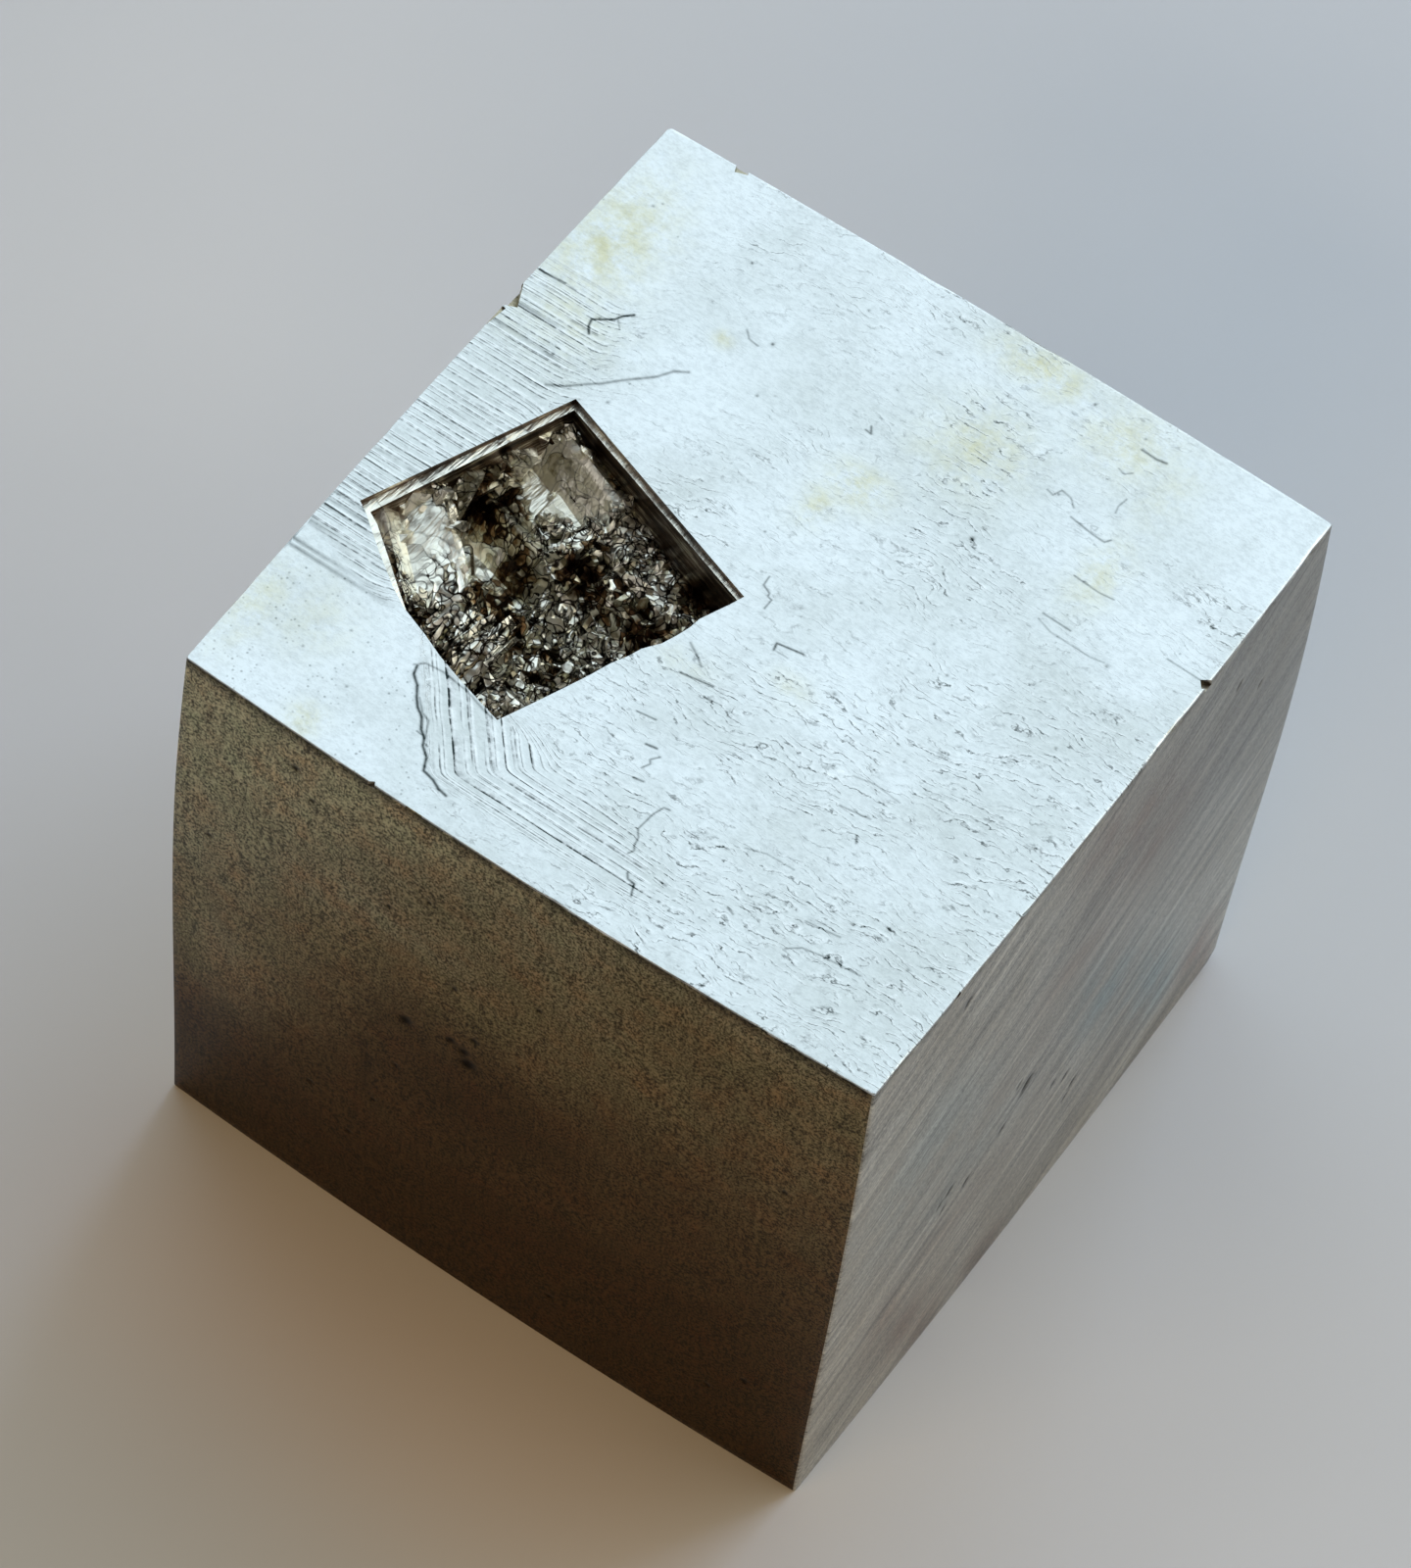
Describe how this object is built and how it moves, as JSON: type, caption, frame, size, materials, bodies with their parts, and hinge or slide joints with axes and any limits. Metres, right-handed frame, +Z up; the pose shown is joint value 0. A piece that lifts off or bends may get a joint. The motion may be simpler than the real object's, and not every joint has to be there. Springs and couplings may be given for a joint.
{
  "type": "pyrite cube mineral specimen",
  "caption": "Natural pyrite cube with gently swelling sides and a square broken-out crystal socket in its top face; rests on its flat bottom face.",
  "frame": {"origin": "middle of the flat bottom face that the cube rests on", "axes": "+Z up through the top face with the socket; -Y is the dark brown tarnished face, +X the grey streaked face; the socket lies towards -X and -Y"},
  "size_m": [0.0404, 0.0414, 0.0406],
  "materials": {
    "pyrite": "natural pyrite: metallic lustre, pale brass, fine growth striations, brown tarnish on one side and rough iron-stained fracture in the socket"
  },
  "bodies": {
    "root": {"pyrite_cube": "pyrite"}
  },
  "joints": []
}
